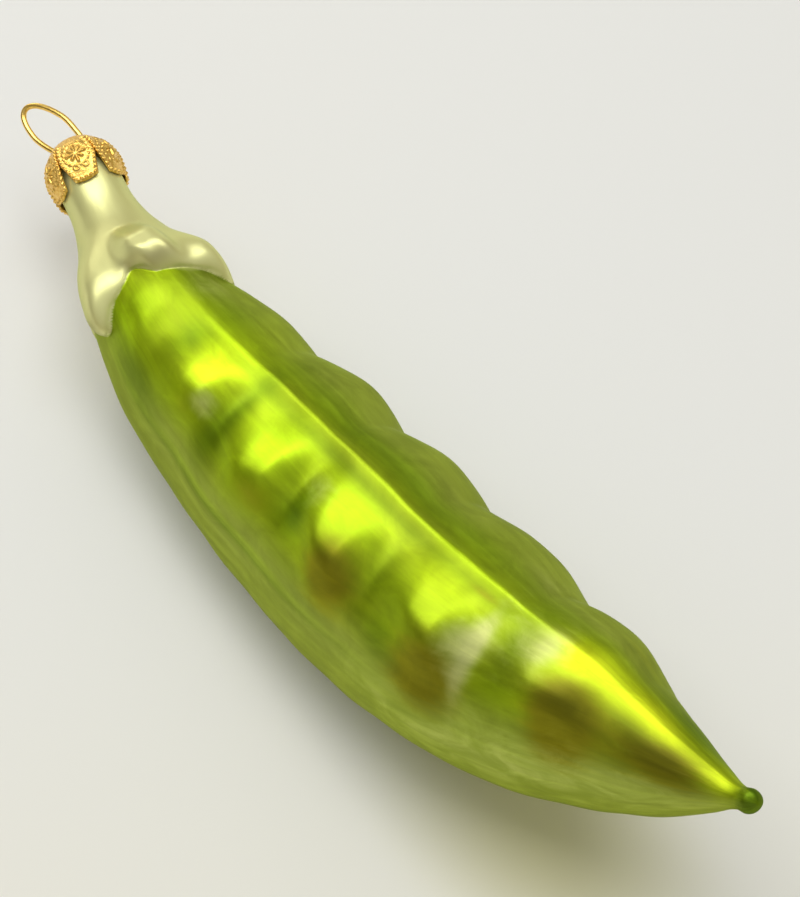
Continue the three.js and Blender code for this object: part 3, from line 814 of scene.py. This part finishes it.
# smooth drawn wire: one noise, faint in colour, roughness and bump
def drawnNodes(kit, shader):
    drawn = kit.noise(kit.objectPlace(), gold["drawn"], 4.0, 0.6)
    base = kit.mixed(kit.ranged(drawn, 0.3, 0.75), gold["dark"], gold["light"])
    kit.put(shader.inputs["Base Color"], kit.mixed(0.65, base, gold["light"]))
    kit.put(shader.inputs["Roughness"], kit.ranged(drawn, 0.3, 0.8, *gold["wireRoughness"]))
    kit.put(shader.inputs["Normal"], kit.bump(drawn, 0.15, 0.00004))


gilt = newMaterial("giltSheet", giltNodes, gold["fixed"])
petals = makePetals()
crown = makeCrown()
for piece in (petals, crown):
    piece.data.materials.append(gilt)
    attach(piece, "root")
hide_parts("ornament_cap")
print("cap:", len(petals.data.polygons) + len(crown.data.polygons), "faces")


# the wire: lengths in millimetres along and across the neck
hanger = {
    "diameter": 0.76,
    "legGap": 3.8,
    "loopWidth": 5.2,
    "loopHeight": 8.5,
    "widestAt": 0.45,               # the loop is at its full width from this share of its height
    "loopFullness": 0.73,           # 1 is an ellipse, less is fuller
    "loopLean": 20,
    "turn": -42,
    "legLength": 11,
    "legMiddle": 0.6,
    "straightTo": 1.5,
    "legSpread": 2.2,
    "endShare": 0.55,               # the cut ends are blunted to this share of the radius
    "loopPoints": 25,
    "sides": 24,
    "steps": 420,
}


# the wire's line: legs hidden in the neck, and between them half an ellipse, its height a power
# of the sine to make it fuller, leaning over the cap
def hangerLine():
    h = hanger
    turned = np.linspace(0, np.pi, h["loopPoints"])
    height = h["loopHeight"] * np.sin(turned) ** h["loopFullness"]
    opened = np.minimum(1, height / (h["loopHeight"] * h["widestAt"]))
    width = h["legGap"] + (h["loopWidth"] - h["legGap"]) * opened
    loopX = math.tan(math.radians(h["loopLean"])) * height - width / 2 * np.cos(turned)
    legX = np.array([h["legSpread"], h["legSpread"], h["legGap"] / 2])
    legZ = -np.array([h["legLength"], h["legMiddle"] * h["legLength"], h["straightTo"]])
    x = np.concatenate([-legX, loopX, legX[::-1]])
    z = np.concatenate([legZ, cap["aboveMouth"] + height, legZ[::-1]])
    chord = np.concatenate([[0], np.cumsum(np.hypot(np.diff(x), np.diff(z)))])
    t = np.linspace(0, chord[-1], h["steps"])
    x, z = along(np.stack([chord, x], -1), t), along(np.stack([chord, z], -1), t)
    a = math.radians(h["turn"])
    return inNeck(x * math.cos(a), x * math.sin(a), z)


# a round tube along the line, with one fixed normal across its flat plane
def makeHanger():
    line = hangerLine()
    tangent = np.gradient(line, axis=0)
    tangent = tangent / np.linalg.norm(tangent, axis=1)[:, None]
    a = math.radians(hanger["turn"])
    flat = -math.sin(a) * neck["across"] + math.cos(a) * neck["up"]
    other = np.cross(tangent, flat)
    turn = np.linspace(0, 2 * np.pi, hanger["sides"], endpoint=False)[None, :, None]
    ends = np.ones(len(line))
    ends[[0, -1]] = hanger["endShare"]
    radius = (hanger["diameter"] / 2 * ends)[:, None, None]
    rings = line[:, None] + radius * (np.cos(turn) * flat + np.sin(turn) * other[:, None])
    return closedGrid("hangerWire", rings, line[0], line[-1])


wirePiece = makeHanger()
wirePiece.data.materials.append(newMaterial("drawnGilt", drawnNodes, gold["fixed"]))
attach(wirePiece, "root")
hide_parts("wire_hanger")
print("hanger:", len(wirePiece.data.polygons), "faces")


# the studio, in metres: each panel stands in its own direction from the ornament
studio = {
    "floorSide": 3.0,
    "floorColor": (0.80, 0.80, 0.78, 1),
    "floorWarmLight": (0.83, 0.80, 0.67, 1),
    "warmLightWay": (0.77, -0.63, 0),    # painted warm light: the board turns warmer this way, from one distance to the other
    "warmLightGrows": (-0.02, 0.12),
    "floorGlow": (0.78, 0.74, 0.42, 1),
    "glowAt": (0.045, -0.002, 0),   # under the tip: painted bounce light, yellow from the lacquer, on the board
    "glowReach": (32, 50, 0),       # one over the reach along each axis
    "glowShare": 0.85,
    "floorRoughness": 0.75,
    "worldLow": (0.36, 0.325, 0.19, 1),
    "worldHigh": (0.46, 0.465, 0.475, 1),
    "darkFrom": (-0.66, -0.72, 0.12),
    "darkGrows": (0.80, 0.97),      # about the cosines of the angle to that direction
    "darkShare": 0.85,
    "darkColor": (0.05, 0.04, 0.02, 1),
    # onMatt False: only glossy things see the panel; onGloss False: only matt things do
    "panels": {
        "windowPanel": {"from": (-0.53, -0.12, 0.81), "distance": 0.75, "size": (0.50, 0.30),
                        "power": 1.7},
        "sidePanel": {"from": (-0.95, 0.12, 0.22), "distance": 0.7, "size": (0.30, 0.13),
                      "power": 0.35},
        "ceilingPanel": {"from": (-0.22, 0.36, 0.9), "distance": 0.9, "size": (0.65, 0.65),
                         "power": 2.9, "onMatt": False},
        "overheadPanel": {"from": (0.16, 0.1, 0.98), "distance": 0.9, "size": (0.45, 0.45),
                          "power": 2.65, "onGloss": False},
    },
}


# the board's nodes: pale, with painted warm light one way and a painted elliptical glow of bounced light
# under the tip
def boardNodes(kit, shader):
    place = kit.objectPlace()
    # painted warm light, growing one way across the board
    warm = kit.ranged(kit.dot(place, studio["warmLightWay"]), *studio["warmLightGrows"])
    cloud = kit.math("MULTIPLY_ADD", kit.noise(place, 9, 2.0), 0.2, kit.math("MULTIPLY", warm, 0.8))
    board = kit.mixed(cloud, studio["floorColor"], studio["floorWarmLight"])
    # painted bounce light: a yellow ellipse on the board under the tip
    off = kit.add("ShaderNodeVectorMath", {0: place, 1: studio["glowAt"]}, operation="SUBTRACT")
    reach = kit.add("ShaderNodeVectorMath", {0: kit.scaled(off.outputs[0], studio["glowReach"])},
                    operation="LENGTH")
    glow = kit.ranged(reach.outputs["Value"], 0.0, 1.0, studio["glowShare"], 0.0)
    kit.put(shader.inputs["Base Color"], kit.mixed(glow, board, studio["floorGlow"]))


# a square of pale board under the ornament
def makeFloor():
    half = studio["floorSide"] / 2 / mm
    corners = np.array([(-half, -half, 0), (half, -half, 0), (half, half, 0), (-half, half, 0)], float)
    floor = meshFrom("paleFloor", corners, np.array([[0, 1, 2, 3]]))
    board = newMaterial("paleBoard", boardNodes, {"Roughness": studio["floorRoughness"]})
    floor.data.materials.append(board)


# the room: its light grows from the horizon to overhead, and one side of it is dark
def makeRoom():
    world = bpy.data.worlds.new("softRoom")
    scene.world = world
    world.use_nodes = True
    kit = NodeKit(world.node_tree)
    direction = kit.add("ShaderNodeTexCoord").outputs["Generated"]
    height = kit.add("ShaderNodeSeparateXYZ", {0: direction}).outputs[2]
    color = kit.mixed(kit.ranged(height, 0.0, 0.9), studio["worldLow"], studio["worldHigh"])
    dark = kit.ranged(kit.dot(direction, studio["darkFrom"]), *studio["darkGrows"])
    color = kit.mixed(kit.math("MULTIPLY", dark, studio["darkShare"]), color, studio["darkColor"])
    kit.put(world.node_tree.nodes["Background"].inputs["Color"], color)


# a soft panel that faces the ornament
def addPanel(name, values):
    light = bpy.data.lights.new(name, "AREA")
    light.shape = "RECTANGLE"
    light.size, light.size_y = values["size"]
    light.energy = values["power"]
    panel = bpy.data.objects.new(name, light)
    panel.visible_diffuse = values.get("onMatt", True)
    panel.visible_glossy = values.get("onGloss", True)
    way = Vector(values["from"]).normalized()
    panel.location = way * values["distance"]
    panel.rotation_euler = way.to_track_quat("Z", "Y").to_euler()
    scene.collection.objects.link(panel)


# the camera: angles in degrees, distance and aim in millimetres
view = {
    "azimuth": 50.6,
    "elevation": 59.71,
    "roll": 0.81,
    "distance": 295.2,
    "aimFromPod": (-2.43, 9.78, -1.96),
    "lens": 100.96,
}


# the camera stands at an azimuth and elevation about a point beside the pod's middle
def addCamera():
    low, high = (np.array(corner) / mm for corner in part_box("glass_pod"))
    aim = (low + high) / 2 + np.array(view["aimFromPod"])
    a, e, roll = (math.radians(view[k]) for k in ("azimuth", "elevation", "roll"))
    back = np.array([math.sin(a) * math.cos(e), -math.cos(a) * math.cos(e), math.sin(e)])
    right = np.array([math.cos(a), math.sin(a), 0])
    top = np.cross(back, right)
    cos, sin = math.cos(roll), math.sin(roll)
    right, top = right * cos + top * sin, top * cos - right * sin
    data = bpy.data.cameras.new("camera")
    data.lens = view["lens"]
    data.clip_start = 0.01
    camera = bpy.data.objects.new("camera", data)
    turn = Matrix(np.stack([right, top, back], 1).tolist()).to_4x4()
    camera.matrix_world = Matrix.Translation(Vector((aim + back * view["distance"]) * mm)) @ turn
    scene.collection.objects.link(camera)
    scene.camera = camera


makeFloor()
makeRoom()
for name, values in studio["panels"].items():
    addPanel(name, values)
addCamera()
print("studio: floor, room, panels and camera")
